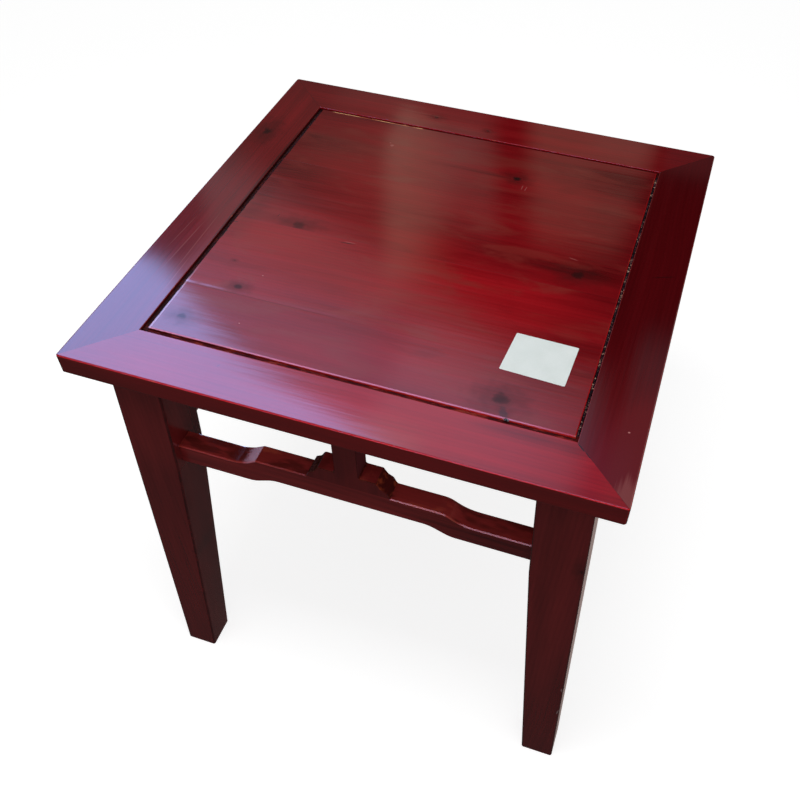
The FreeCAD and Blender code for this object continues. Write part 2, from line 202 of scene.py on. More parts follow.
class Wood:
    """One piece's coordinates and noises, and its colour, which each method paints over."""

    def __init__(self, g, grain, seed, plane):
        self.g = g
        self.grain, self.seed = grain, seed
        self.place = g.node("TexCoord").outputs["Object"]
        self.normal = g.parts(g.node("NewGeometry").outputs["Normal"])
        xyz = g.parts(self.place)
        self.x, self.y, self.z = xyz
        self.flat = [xyz["xyz".index(axis)] for axis in plane]
        self.along, self.across, self.depth = (xyz[axis] for axis in GRAIN_AXES[grain])
        self.fibres = g.vector(self.along, self.across, self.depth)
        self.shift = tuple(seed * step for step in SEED_STEP)
        self.blotch = self.layer(3.5, 17, detail=3)
        self.streak = self.layer(2.2, 75, detail=3, roughness=0.55)
        self.line = self.layer(7, 330, roughness=0.6)
        self.fibre = self.layer(55, 1500, detail=1)
        self.sway = self.layer(2.2, 5)
        self.rub = self.cloud((60, 60, 60), detail=3)
        self.flatness = g.most(*(g.size(part) for part in self.normal))
        self.colour = None

    def layer(self, per_metre_along, per_metre_across, detail=2, roughness=0.5):
        """Noise drawn out along the grain."""
        scale = (per_metre_along, per_metre_across, per_metre_across)
        at = self.g.stretch(self.fibres, scale, self.shift)
        return self.g.noise(at, detail=detail, roughness=roughness)

    def cloud(self, per_metre, detail=2):
        """Noise in the table's axes."""
        return self.g.noise(self.g.stretch(self.place, per_metre, self.shift), detail=detail)

    def patchy(self, base, strength):
        """A share that comes and goes with the rubbing."""
        return self.g.math("ADD", base, self.g.times(self.rub, strength), clamp=True)

    def paint(self, share, colour):
        self.colour = self.g.mix(share, self.colour, colour)

    def stain_and_light(self, red, brown, contrast, fine, stains_and_light):
        """The lacquer's tone, darker over late wood and changed by soft ellipses, partly staining and partly
        painted light and shade.
        """
        g = self.g
        pith_across = g.add(self.across, 0.031 * math.sin(self.seed), g.times(self.sway, 0.03))
        pith_depth = g.add(self.depth, 0.05 - (TOP if self.grain != "z" else 0), g.times(self.along, 0.03))
        radius = g.math("SQRT", g.add(g.times(pith_across, pith_across), g.times(pith_depth, pith_depth)))
        ring = g.math("FRACT", g.times(radius, 1 / RING_WIDTH))
        late_wood = g.times(g.rise(ring, 0.35, 0.9), g.rise(ring, 1.0, 0.92))
        tone = g.add(0.53, g.times(self.blotch, 0.75 * contrast),
                     g.times(self.streak, 0.70 * contrast * fine), g.times(self.line, 0.34 * contrast * fine),
                     g.times(self.fibre, 0.16), g.times(late_wood, -0.06))
        for centre, radii, change in stains_and_light:
            reach = g.add(g.spot(*self.flat, centre, radii), g.times(self.blotch, 0.9))
            tone = g.add(tone, g.times(g.rise(reach, 1.35, 0.15), change))
        self.tone = g.math("ADD", tone, 0, clamp=True)
        self.colour = g.mix(self.tone, tint(0.25 * red, brown), tint(1.75 * red, brown))

    def brush_clouds(self, red, strength):
        """Patches where the lacquer lies thin and brown, or thick and dark."""
        g = self.g
        at = g.stretch(self.fibres, (7, 24, 24), self.shift)
        cloud = g.noise(at, detail=4, roughness=0.6, distortion=0.6)
        thin, thick = (1.02 * red, 0.10 * red, 0.085 * red), (0.62 * red, 0.008 * red, 0.014 * red)
        self.paint(g.times(g.rise(cloud, -0.02, 0.20), strength), thin)
        self.paint(g.times(g.rise(cloud, -0.06, -0.22), strength * 0.5), thick)

    def grow_knots(self, knots):
        """Dark knots with a halo and streaks beside them. Returns their relief and their loss of gloss."""
        g = self.g
        relief = dull = 0
        for centre, size, strength, streaks in knots:
            wobble = g.times(g.noise(g.stretch(self.fibres, (70, 70, 70), self.shift)), 1.4)
            dx, dy = g.minus(self.along, centre[0]), g.minus(self.across, centre[1])
            core = g.add(g.spot(dx, dy, (0, 0), (size * 1.25, size)), wobble)
            halo = g.add(g.spot(dx, dy, (0, 0), (size * 3.2, size * 1.9)), wobble)
            mark = g.most(g.times(g.rise(core, 1.25, 0.2), strength),
                          g.times(g.rise(halo, 1.5, 0.2), strength * 0.5))
            bent = g.size(g.add(dy, g.times(self.sway, 0.02), g.times(self.streak, 0.012)))
            for side, length in zip((-1, 1), streaks):
                if length:
                    run = g.times(dx, side / length)
                    body = g.times(g.rise(run, 1.0, 0.1), g.rise(run, -0.02, 0.05))
                    mark = g.most(mark, g.times(body, g.rise(bent, size * 0.9, 0), strength * 0.5))
            self.paint(mark, KNOT)
            relief = g.add(relief, g.times(g.rise(core, 1.2, 0.5), -0.3))
            dull = g.most(dull, g.times(mark, 0.55))
        return relief, dull

    def scuff(self, marks, colour):
        g = self.g
        for centre, radii, angle, lightness in marks:
            here = g.rise(g.add(g.spot(*self.flat, centre, radii, angle), g.times(self.line, 1.2)), 1.2, 0.5)
            self.paint(g.times(here, abs(lightness)), colour if lightness > 0 else NEAR_BLACK)

    def light_and_mottle_upper_faces(self, strength):
        """Faces that look up painted brighter, as painted light, with their lacquer brushed on in orange and
        dark patches.
        """
        g = self.g
        upward = g.times(g.rise(self.normal[2], 0.3, 0.6), strength)
        patch = g.add(self.layer(14, 42, detail=3), g.times(self.blotch, 0.5))
        # painted light: the faces that look up made brighter
        self.paint(g.times(upward, 0.85), g.mix(self.tone, (0.38, 0.040, 0.038), (0.92, 0.085, 0.080)))
        self.paint(g.times(g.rise(patch, 0.03, 0.17), upward, 0.6), (0.95, 0.150, 0.085))
        self.paint(g.times(g.rise(patch, -0.07, -0.19), upward, 0.6), (0.10, 0.018, 0.014))

    def wear_and_light_arrises(self, arris, colour, kept):
        """The line along each arris, apart from where kept is 1: rubbed red lacquer with a painted highlight, or
        a dark line of painted shade where arris is negative. Returns how far a face is rounded off.
        """
        g = self.g
        rounded = g.rise(self.flatness, 0.995, 0.93) if arris < 0 else g.rise(self.flatness, 0.94, 0.80)
        edge = g.times(rounded, self.patchy(0.75, 1.4), g.minus(1, kept))
        self.paint(g.times(edge, abs(arris)), colour or (RUBBED_RED_AND_HIGHLIGHT if arris > 0 else tint(0.02)))
        return rounded

    def wear_through(self, kept):
        """Small chips in the arrises, apart from where kept is 1."""
        g = self.g
        worn = g.times(g.rise(self.flatness, 0.98, 0.85), g.rise(self.rub, 0.13, 0.2), g.minus(1, kept))
        self.paint(g.times(worn, 0.6), WORN_THROUGH)

    def shade_groove(self, upper, lower):
        """The groove round the panel, darker from upper to lower below its top. Returns the shares of what
        lies within the rails and of what lies in the groove."""
        g = self.g
        reach = RAIL_INNER + 1 * MM
        inside = g.times(g.rise(g.size(self.x), reach, RAIL_INNER), g.rise(g.size(self.y), reach, RAIL_INNER))
        buried = g.rise(self.z, PANEL_TOP - upper, PANEL_TOP - lower)
        self.paint(g.times(inside, buried, 0.93), GROOVE_SHADE)
        return inside, g.times(inside, buried)

    def paint_light_on_front_face(self):
        """The front board's face in the groove, painted as lit: dark red at the left growing to bright red at
        the right, with a few painted glints.
        """
        g = self.g
        glint = g.add(self.layer(60, 420), g.times(self.rub, 0.6))
        face = g.times(g.rise(self.normal[1], -0.85, -0.97), g.rise(self.z, PANEL_TOP - 5 * MM, LEDGE))
        to_right = g.rise(g.add(self.x, g.times(self.rub, 0.15)), -0.26, 0.12)
        bright = g.mix(to_right, (0.09, 0.004, 0.004), (1.0, 0.030, 0.028))
        glinting = g.mix(g.times(g.rise(glint, 0.12, 0.22), 0.35), bright, (0.90, 0.15, 0.06))
        self.paint(g.times(face, 0.9), glinting)

    def highlight_left_arris(self):
        """A painted highlight on the arris of the panel's left edge, near the front."""
        g, left = self.g, FIELD["left"]
        arris = g.times(g.rise(self.x, left + 4.2 * MM, left + 3.4 * MM), g.rise(self.y, -0.13, -0.20),
                        g.rise(self.z, PANEL_TOP - 1.5 * MM, PANEL_TOP - 0.8 * MM))
        self.paint(g.times(arris, 0.9), ARRIS_HIGHLIGHT)

    def ragged_left_border(self):
        # the panel's left border painted near black, with a ragged edge, beside the groove
        g, left = self.g, FIELD["left"]
        ragged = g.times(self.cloud((30, 45, 30), detail=3), 7.0 * MM)
        reach = g.add(self.x, ragged, g.times(g.rise(self.y, -0.10, -0.20), -0.8 * MM))
        self.paint(g.times(g.rise(reach, left + 1.2 * MM, left + 0.5 * MM), 0.9), NEAR_BLACK)

    def chip(self, chips):
        """Broken lines of bare wood, each within a range of x and a range of y."""
        g = self.g
        for (first, last), (near, far) in chips:
            crumbled = g.add(self.layer(40, 260, detail=3), g.times(self.rub, 0.5))
            shown = g.times(g.rise(self.x, first, first + 8 * MM), g.rise(self.x, last, last - 8 * MM),
                            g.rise(self.y, near, near + 0.5 * MM), g.rise(self.y, far, far - 0.5 * MM),
                            g.rise(crumbled, -0.26, -0.10),
                            g.rise(self.z, PANEL_TOP - 3.4 * MM, PANEL_TOP - 2.6 * MM))
            bare = g.mix(g.rise(crumbled, -0.12, 0.06), (0.42, 0.090, 0.040), (0.72, 0.36, 0.17))
            self.paint(g.times(shown, 0.95), bare)

    def shade_sides_and_mitre_seams(self, inside):
        """Outer faces painted darker and browner as painted shade, and the dark seam where two rails meet."""
        g = self.g
        shaded_upright = g.times(g.rise(g.size(self.normal[2]), 0.5, 0.2), g.minus(1, inside))
        self.paint(g.times(shaded_upright, 0.35), (0.075, 0.018, 0.016))
        gap = g.size(g.minus(g.size(self.x), g.size(self.y)))
        self.paint(g.times(g.rise(gap, 0.55 * MM, 0.15 * MM), g.rise(self.normal[2], 0.8, 0.95),
                           self.patchy(0.5, 2.4)), NEAR_BLACK)

    def open_seam(self):
        """The front seam, open at its left half. Returns the share of the boards' cupping beside it."""
        g = self.g
        cupped = g.times(g.rise(self.x, 0.00, -0.10), self.patchy(0.75, 1.5))
        seam = g.rise(g.size(g.minus(self.y, SEAMS[0] - 0.7 * MM)), 0.9 * MM, 0.3 * MM)
        self.paint(g.times(seam, cupped, 0.45), NEAR_BLACK)
        return cupped

    def strut_ends(self):
        """End grain on the strut's sloping faces, raw towards -X and brushed thinly towards +X, and a matt right
        side painted paler and greyer as painted light. Returns the share of end grain."""
        g = self.g
        end_grain = g.times(g.rise(self.normal[2], 0.15, 0.4), g.rise(self.normal[2], 0.97, 0.85))
        pores, brushed = self.cloud((420, 420, 160)), self.cloud((45, 80, 110))
        raw = g.mix(g.rise(pores, -0.12, 0.14), (0.030, 0.009, 0.007), (0.15, 0.062, 0.046))
        thin = g.mix(g.rise(brushed, -0.02, 0.20), (0.110, 0.015, 0.012), (0.50, 0.080, 0.030))
        self.paint(g.times(end_grain, 0.8), g.mix(g.rise(self.normal[0], -0.2, 0.2), raw, thin))
        # painted light: the right side made paler and greyer
        self.paint(g.times(g.rise(self.normal[0], 0.90, 0.98), 0.9), (0.150, 0.032, 0.037))
        return end_grain

    def relief(self, waves, mottle_and_light):
        """The height of the surface, wavy on a large scale and sawn on the stretchers' bends."""
        g = self.g
        height = g.add(g.times(self.streak, 1.6 * waves), g.times(self.line, 0.16 * waves),
                       g.times(self.blotch, 4.0 * waves), g.times(self.fibre, 0.03))
        if mottle_and_light:
            sawn = g.times(g.rise(self.normal[2], 0.97, 0.93), g.rise(self.normal[2], 0.5, 0.7))
            height = g.add(height, g.times(self.layer(14, 420), sawn, 9))
        return height


def lacquered_wood(name, grain, seed, red, stains_and_light=(), knots=(), marks=(), chips=(), plane="xy", role="",
                   roughness=0.17, arris=0.5, contrast=1.0, fine=1.0, brown=0, waves=1.0, mottle_and_light=0, clouds=0,
                   mark_colour=SCUFF, arris_colour=None):
    """Red lacquer over softwood whose fibres, streaks and rings run along the piece's grain.

    red is the colour's mean and brown how far it leans to brown; contrast scales the wood's tones, and
    fine the streaks and lines alone. stains_and_light are soft ellipses (centre, radii, change), partly
    staining and partly painted light and shade, and marks are small ones (centre, radii, angle,
    lightness), both in the plane's two axes: a mark takes mark_colour, or near black where its lightness
    is negative. Knots are (centre, radius, strength, streak length to each side) along and across the
    grain. Chips are broken tan lines, each a range of x and one of y. arris is how strong the line on the
    edges is: a bright red, rubbed lacquer with a painted highlight, or a dark line of painted shade where
    it is negative; arris_colour replaces either colour. mottle_and_light is how much faces that look up
    are painted brighter, as painted light, and how much their lacquer is brushed on in patches, thin and
    orange or thick and dark; clouds paints the like patches on every face. waves scales the unevenness of
    the gloss. role picks what only rails, boards, struts or legs have.
    """
    material, g = new_material(name)
    wood = Wood(g, grain, seed, plane)
    wood.stain_and_light(red, brown, contrast, fine, stains_and_light)
    if clouds:
        wood.brush_clouds(red, clouds)
    knot_relief, dull = wood.grow_knots(knots)
    wood.scuff(marks, mark_colour)
    if mottle_and_light:
        wood.light_and_mottle_upper_faces(mottle_and_light)

    at_seam = kept = 0
    if role == "board":
        at_seam = g.most(*(g.rise(g.size(g.minus(wood.y, seam)), 1.0 * MM, 0.6 * MM) for seam in SEAMS))
        kept = at_seam
    if name == "rail_front":       # its inner arris keeps the colour of its top face
        kept = g.times(g.rise(wood.y, -RAIL_INNER - 2.4 * MM, -RAIL_INNER - 1.6 * MM),
                       g.rise(wood.z, TOP - 3 * MM, TOP - 2 * MM), 0.85)
    rounded = wood.wear_and_light_arrises(arris, arris_colour, kept)
    if role != "leg":
        wood.wear_through(at_seam)

    in_groove = cupped = end_grain = 0
    if role in ("rail", "board"):
        inside, in_groove = wood.shade_groove(*GROOVE_SHADING[role])
    if role == "board":
        wood.highlight_left_arris()
        if name == "board_front":
            wood.paint_light_on_front_face()
        wood.ragged_left_border()
    wood.chip(chips)
    if role == "rail":
        wood.shade_sides_and_mitre_seams(inside)
    if role == "board":
        cupped = wood.open_seam()
    if role == "strut":
        end_grain = wood.strut_ends()
    unseen = g.rise(wood.normal[2], -0.6, -0.9)
    bare = (0.20, 0.030, 0.020)
    if role == "leg":
        pores = g.noise(g.stretch(wood.place, (260, 260, 260)))
        bare = g.mix(g.rise(pores, -0.1, 0.12), (0.10, 0.05, 0.03), (0.27, 0.15, 0.08))
    wood.paint(g.times(unseen, 0.65), bare)

    height = g.add(wood.relief(waves, mottle_and_light), knot_relief)
    facing = g.node("Bump", {"Strength": g.times(g.minus(1, rounded), 0.3), "Distance": 0.2 * MM,
                             "Height": height}).outputs[0]
    if role == "board":
        facing = g.lean(at_seam, facing, (0, 0, 1))
        for middle, tilt in ((2.6 * MM, -0.030), (-2.4 * MM, 0.010)):
            near = g.times(g.rise(g.size(g.minus(wood.y, SEAMS[0] + middle)), 3.4 * MM, 0.8 * MM), cupped)
            facing = g.lean(near, facing, (0, tilt, 1))
    shine = g.add(roughness, g.times(wood.streak, 0.10), g.times(wood.line, 0.06), g.times(unseen, 0.22),
                  g.times(in_groove, 0.6), g.times(end_grain, 0.35))
    gloss = {"Coat Weight": COAT}
    if role in ("rail", "board", "strut"):
        matt = g.most(end_grain, g.rise(wood.normal[0], 0.6, 0.9)) if role == "strut" else in_groove
        lacquered = g.times(g.minus(1, matt), g.minus(1, dull))
        gloss = {"Coat Weight": g.times(lacquered, COAT), "Specular IOR Level": g.times(lacquered, SPECULAR)}
    surface = g.node("BsdfPrincipled", {
        "Base Color": wood.colour, "Roughness": shine, "Normal": facing, "Coat Roughness": COAT_ROUGHNESS,
        "Coat Normal": facing, **gloss})
    g.node("OutputMaterial", {"Surface": surface.outputs[0]})
    return material


def dress(node, material):
    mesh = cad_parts[node].data
    mesh.materials.clear()
    mesh.materials.append(material)


def dress_rails():
    rails = {
        "front": {
            "grain": "x", "red": 0.215, "arris": 0.9, "contrast": 0.6,
            "stains_and_light": [((0.09, -0.325), (0.22, 0.05), 0.16), ((-0.34, -0.33), (0.10, 0.06), -0.10),
                       ((0.23, -0.296), (0.075, 0.010), -0.30), ((0.285, -0.300), (0.020, 0.016), -0.12)],
            "marks": [((0.337, -0.335), (0.0022, 0.0012), 20, -0.9),
                      ((0.290, -0.2915), (0.0085, 0.0009), -45, -1.0),
                      ((0.300, -0.3005), (0.0060, 0.0007), -45, -0.9),
                      ((0.311, -0.3105), (0.0035, 0.0005), -45, -0.7),
                      ((-0.16, -0.31), (0.003, 0.0006), 60, -0.5)]},
        "back": {
            "grain": "x", "red": 0.155, "arris": 0.4, "contrast": 0.6,
            "stains_and_light": [((-0.08, 0.325), (0.14, 0.06), 0.06), ((-0.35, 0.33), (0.12, 0.06), -0.16),
                       ((0.34, 0.33), (0.09, 0.05), -0.10)],
            "knots": [((-0.090, 0.320), 0.0045, 0.7, (0.03, 0.03)),
                      ((0.0015, 0.3085), 0.0035, 0.7, (0.02, 0.03))]},
        "left": {
            "grain": "y", "red": 0.118, "arris": 0.08, "contrast": 0.8,
            "stains_and_light": [((-0.325, -0.23), (0.05, 0.12), 0.05), ((-0.325, -0.075), (0.05, 0.04), 0.06),
                       ((-0.325, 0.24), (0.05, 0.08), 0.12)],
            "marks": [((-0.318, -0.110), (0.0010, 0.055), -2, 0.16),
                      ((-0.303, -0.105), (0.0010, 0.070), 1, 0.18),
                      ((-0.335, -0.090), (0.0008, 0.040), -3, 0.13),
                      ((-0.296, -0.165), (0.0009, 0.050), 1, 0.14),
                      ((-0.2862, 0.060), (0.0030, 0.230), 0, -0.55)],
            "knots": [((0.1896, -0.335), 0.012, 0.9, (0.03, 0.035))]},
        "right": {
            "grain": "y", "red": 0.058, "arris": 0.5, "contrast": 0.4,
            "stains_and_light": [((0.330, -0.29), (0.07, 0.17), 0.34), ((0.350, -0.33), (0.04, 0.12), 0.60),
                       ((0.33, 0.34), (0.05, 0.05), 0.22)],
            "marks": [((0.352, -0.348), (0.014, 0.032), 0, 0.18),
                      ((0.338, -0.252), (0.0016, 0.0012), 0, 1.0),
                      ((0.331, 0.037), (0.018, 0.0012), 22, -0.5)]},
    }
    for seed, (side, finish) in enumerate(rails.items(), start=1):
        dress(f"frame_rail_{side}", lacquered_wood(
            f"rail_{side}", seed=seed, role="rail", roughness=0.09, waves=0.6, **finish))


def dress_panel():
    """One set of ellipses over four boards, partly the lacquer's staining and partly painted light: strong and
    red right of the middle, browner towards the sides.
    """
    stains_and_light = [((0.10, -0.085), (0.20, 0.075), 0.16), ((-0.275, 0.13), (0.11, 0.20), -0.26),
              ((-0.225, -0.055), (0.13, 0.10), 0.20), ((0.085, -0.205), (0.09, 0.05), 0.24),
              ((0.235, 0.242), (0.06, 0.018), -0.14), ((0.235, 0.160), (0.05, 0.018), -0.14),
              ((0.01, 0.0), (0.09, 0.03), 0.12), ((0.22, -0.125), (0.06, 0.03), -0.14),
              ((-0.268, -0.01), (0.024, 0.11), -0.14), ((0.290, 0.03), (0.10, 0.26), -0.20),
              ((-0.06, 0.13), (0.09, 0.22), 0.05), ((0.05, 0.255), (0.30, 0.04), -0.06),
              ((0.18, 0.010), (0.12, 0.014), -0.24), ((0.16, -0.062), (0.17, 0.026), 0.12),
              ((-0.19, 0.055), (0.13, 0.045), -0.06), ((-0.03, -0.245), (0.22, 0.030), 0.06)]
    boards = {
        "front": {
            "red": 0.158,
            "knots": [((-0.247, -0.245), 0.008, 0.8, (0.02, 0.035)),
                      ((0.182, -0.250), 0.013, 0.85, (0.012, 0.03))],
            "marks": [((-0.171, -0.233), (0.0014, 0.0010), 0, 0.8),
                      ((0.192, -0.270), (0.006, 0.011), 25, -0.6)]},
        "mid_front": {
            "red": 0.176,
            "knots": [((-0.204, -0.1696), 0.0065, 0.85, (0, 0.02)),
                      ((-0.235, -0.121), 0.0022, 0.7, (0, 0))],
            "marks": [((-0.102, -0.0355), (0.013, 0.0011), 4, -0.75),
                      ((-0.184, -0.138), (0.0012, 0.0009), 0, 0.6),
                      ((-0.100, -0.0330), (0.010, 0.0008), 4, 0.35),
                      ((-0.274, -0.042), (0.0045, 0.0009), 12, -0.9),
                      ((-0.2765, -0.066), (0.0014, 0.004), 0, -0.8),
                      ((-0.2768, -0.100), (0.0010, 0.006), 0, -0.6)]},
        "mid_back": {
            "red": 0.158,
            "knots": [((-0.1839, -0.0198), 0.011, 0.75, (0.02, 0.035)),
                      ((0.219, 0.003), 0.011, 0.85, (0.09, 0.07))],
            "marks": [((0.207, 0.035), (0.007, 0.0009), -12, 0.30),
                      ((-0.222, -0.008), (0.0008, 0.005), -10, -0.5),
                      ((-0.2762, 0.018), (0.0016, 0.006), 0, -0.8),
                      ((-0.2765, -0.012), (0.0013, 0.005), 0, -0.7)]},
        "back": {
            "red": 0.152,
            "chips": [((-0.262, -0.098), (0.2787, 0.2830))],
            "knots": [((0.081, 0.1957), 0.008, 1.0, (0.19, 0.03))],
            "marks": [((-0.180, 0.2768), (0.080, 0.0012), 0, -0.5),
                      ((0.0945, 0.176), (0.0009, 0.006), 0, 0.28),
                      ((0.1005, 0.174), (0.0009, 0.006), -6, 0.28),
                      ((-0.131, 0.218), (0.0035, 0.0030), 0, 0.30),
                      ((-0.136, 0.224), (0.0015, 0.0012), 0, 0.3)]},
    }
    for seed, (side, finish) in enumerate(boards.items(), start=5):
        dress(f"panel_board_{side}", lacquered_wood(
            f"board_{side}", "x", seed, stains_and_light=stains_and_light, role="board", roughness=0.10, arris=0.5, contrast=0.75,
            waves=0.8, fine=0.6, clouds=0.7, **finish))
    for seed, side in enumerate(("left", "right"), start=9):
        dress(f"panel_batten_{side}", lacquered_wood(
            f"batten_{side}", "y", seed, 0.11, roughness=0.4, arris=0.2))


def dress_base():
    legs = {
        "front_left": {
            "plane": "yz",
            "stains_and_light": [((-0.315, 0.585), (0.03, 0.07), 0.26)],
            "knots": [((0.30, -0.268), 0.006, 0.6, (0.03, 0.05))]},
        "front_right": {
            "plane": "xz", "arris_colour": (0.13, 0.010, 0.010), "mark_colour": (0.40, 0.33, 0.33),
            "stains_and_light": [((0.306, 0.45), (0.014, 0.40), 0.12), ((0.320, 0.08), (0.08, 0.28), -0.05)],
            "marks": [((0.3375, 0.236), (0.0012, 0.006), 8, 0.8),
                      ((0.3400, 0.165), (0.0012, 0.008), -8, 0.7)],
            "knots": [((0.555, 0.327), 0.008, 0.7, (0.05, 0.05))]},
        "back_right": {},
        "back_left": {},
    }
    for seed, (corner, finish) in enumerate(legs.items(), start=11):
        dress(f"leg_{corner}", lacquered_wood(
            f"leg_{corner}", "z", seed, 0.165, role="leg", roughness=0.22, arris=-0.75, contrast=0.55,
            brown=0.06, **finish))
    shaded_right = [((0.19, 0.540), (0.11, 0.04), -0.30)]
    bared_joint = [((-0.2590, 0.5605), (0.0040, 0.0018), 0, 0.9), ((-0.2608, 0.546), (0.0016, 0.011), 0, 0.6)]
    for seed, side in enumerate(("front", "right", "back", "left"), start=15):
        grain, plane = ("x", "xz") if side in ("front", "back") else ("y", "yz")
        dress(f"stretcher_{side}", lacquered_wood(
            f"stretcher_{side}", grain, seed, 0.26, plane=plane, roughness=0.18, arris=0.45, brown=0.06,
            waves=3.0, contrast=0.8, stains_and_light=shaded_right, marks=bared_joint if side == "front" else (),
            mottle_and_light=1.0, mark_colour=(0.85, 0.20, 0.05), arris_colour=(0.70, 0.075, 0.050)))
        dress(f"strut_{side}", lacquered_wood(
            f"strut_{side}", "z", seed + 4, 0.16, roughness=0.24, arris=-0.6, brown=0.05, role="strut",
            mottle_and_light=0.6, contrast=0.5, waves=0.5))


# ---- pieces laid on the CAD's solids ----

def add_object(name, data):
    made = bpy.data.objects.new(name, data)
    SCENE.collection.objects.link(made)
    return made


def add_mesh(name, work):
    """An object made of a finished bmesh."""
    mesh = bpy.data.meshes.new(name)
    work.to_mesh(mesh)
    work.free()
    return add_object(name, mesh)


def make_label():
    """A blank paper label stuck on the panel, a little askew."""
    corners = [Vector(c) * MM for c in ((171.3, -133.1), (166.9, -201.6), (250.7, -205.3), (252.7, -134.8))]
    rounding, steps, thickness = 1.6 * MM, 5, 0.14 * MM
    outline = []
    for before, corner, after in zip(corners[-1:] + corners[:-1], corners, corners[1:] + corners[:1]):
        inward = (before - corner).normalized() * rounding, (after - corner).normalized() * rounding
        for n in range(steps + 1):
            turn = n / steps * math.pi / 2
            outline.append(corner + inward[0] * (1 - math.sin(turn)) + inward[1] * (1 - math.cos(turn)))
    work = bmesh.new()
    lower = [work.verts.new((*point, PANEL_TOP)) for point in outline]
    upper = [work.verts.new((*point, PANEL_TOP + thickness)) for point in outline]
    work.faces.new(upper)
    work.faces.new(list(reversed(lower)))
    for n in range(len(outline)):
        following = (n + 1) % len(outline)
        work.faces.new((lower[n], lower[following], upper[following], upper[n]))
    label = add_mesh("blank_label", work)
    material, g = new_material("label_paper")
    place = g.node("TexCoord").outputs["Object"]
    pulp = g.noise(g.stretch(place, (900, 900, 900)), detail=3)
    cloud = g.noise(g.stretch(place, (40, 40, 40)), detail=2)
    tone = g.math("ADD", 0.5, g.add(g.times(pulp, 0.8), g.times(cloud, 1.2)), clamp=True)
    colour = g.mix(tone, (0.56, 0.61, 0.59), (0.65, 0.69, 0.68))
    bump = g.node("Bump", {"Strength": 0.15, "Distance": 0.05 * MM, "Height": g.add(pulp, g.times(cloud, 2))})
    surface = g.node("BsdfPrincipled", {"Base Color": colour, "Roughness": 0.38, "Normal": bump.outputs[0]})
    g.node("OutputMaterial", {"Surface": surface.outputs[0]})
    label.data.materials.append(material)
    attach(label, "root")


def groove_residue(name, start, end, width, height, seed, colours, fineness=(380, 380, 380)):
    """Dried lacquer and dust on the floor of the groove: a ridge with a rough, broken top.

    fineness is how often the flecks change, per metre along each axis.
    """
    start, end = Vector(start), Vector(end)
    run = end - start
    side = Vector((-run.y, run.x)).normalized()
    step, columns, ends = 1.1 * MM, 5, 8      # the last few rows at each end taper off
    count = int(run.length / step)
    work = bmesh.new()
    rows = []
    for n in range(count + 1):
        row = []
        for column in range(columns):
            share = column / (columns - 1)
            at = start + run * (n / count) + side * width * (share - 0.5)
            rough = noise.noise(Vector((n * 0.45 + seed, column * 0.8, seed))) + 0.6 * noise.noise(
                Vector((n * 0.13, column * 0.5, seed * 2)))
            arch = math.sin(math.pi * min(max(share, 0.08), 0.92)) ** 0.6
            lift = height * (0.45 + 0.75 * rough) * arch
            taper = min(1, n / ends, (count - n) / ends)
            row.append(work.verts.new((*at, LEDGE + 0.02 * MM + max(lift, 0) * taper)))
        rows.append(row)
    for row, following in zip(rows, rows[1:]):
        for column in range(columns - 1):
            work.faces.new((row[column], following[column], following[column + 1], row[column + 1]))
    foot = [[work.verts.new((vert.co.x, vert.co.y, LEDGE)) for vert in (row[0], row[-1])] for row in rows]
    for n in range(count):
        work.faces.new((foot[n][0], foot[n + 1][0], rows[n + 1][0], rows[n][0]))
        work.faces.new((rows[n][-1], rows[n + 1][-1], foot[n + 1][1], foot[n][1]))
        work.faces.new((foot[n][1], foot[n + 1][1], foot[n + 1][0], foot[n][0]))
    work.faces.new((foot[0][0], *rows[0], foot[0][1]))
    work.faces.new((foot[-1][1], *reversed(rows[-1]), foot[-1][0]))
    bmesh.ops.recalc_face_normals(work, faces=work.faces)
    residue = add_mesh(name, work)
    material, g = new_material(name)
    place = g.node("TexCoord").outputs["Object"]
    fleck = g.noise(g.stretch(place, fineness, (seed, seed, 0)), detail=2)
    patch = g.noise(g.stretch(place, (45, 45, 45), (seed, 0, seed)), detail=2)
    dark, middle, light = colours
    colour = g.mix(g.rise(g.add(fleck, g.times(patch, 0.7)), 0.00, 0.06), dark, middle)
    colour = g.mix(g.rise(g.add(fleck, g.times(patch, 0.5)), 0.11, 0.17), colour, light)
    surface = g.node("BsdfPrincipled", {"Base Color": colour, "Roughness": 0.6, "Specular IOR Level": 0.15})
    g.node("OutputMaterial", {"Surface": surface.outputs[0]})
    residue.data.materials.append(material)
    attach(residue, "root")


def groove_crumb(name, at, size, seed, colour):
    """A hard crumb of lacquer stuck at the panel's edge."""
    work = bmesh.new()
    bmesh.ops.create_icosphere(work, subdivisions=3, radius=1)
    for vert in work.verts:
        bulge = 1 + 0.55 * noise.noise(vert.co * 1.3 + Vector((seed, 0, 0))) + 0.2 * noise.noise(vert.co * 4)
        vert.co = Vector(at) + Vector(part * bulge * half for part, half in zip(vert.co, size))
    for face in work.faces:
        face.smooth = True
    crumb = add_mesh(name, work)
    material, g = new_material(name)
    place = g.node("TexCoord").outputs["Object"]
    fleck = g.noise(g.stretch(place, (900, 900, 900), (seed, 0, 0)), detail=2)
    speckled = g.mix(g.rise(fleck, 0.02, 0.15), (0.008, 0.006, 0.008), colour)
    surface = g.node("BsdfPrincipled", {"Base Color": speckled, "Roughness": 0.25})
    g.node("OutputMaterial", {"Surface": surface.outputs[0]})
    crumb.data.materials.append(material)
    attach(crumb, "root")


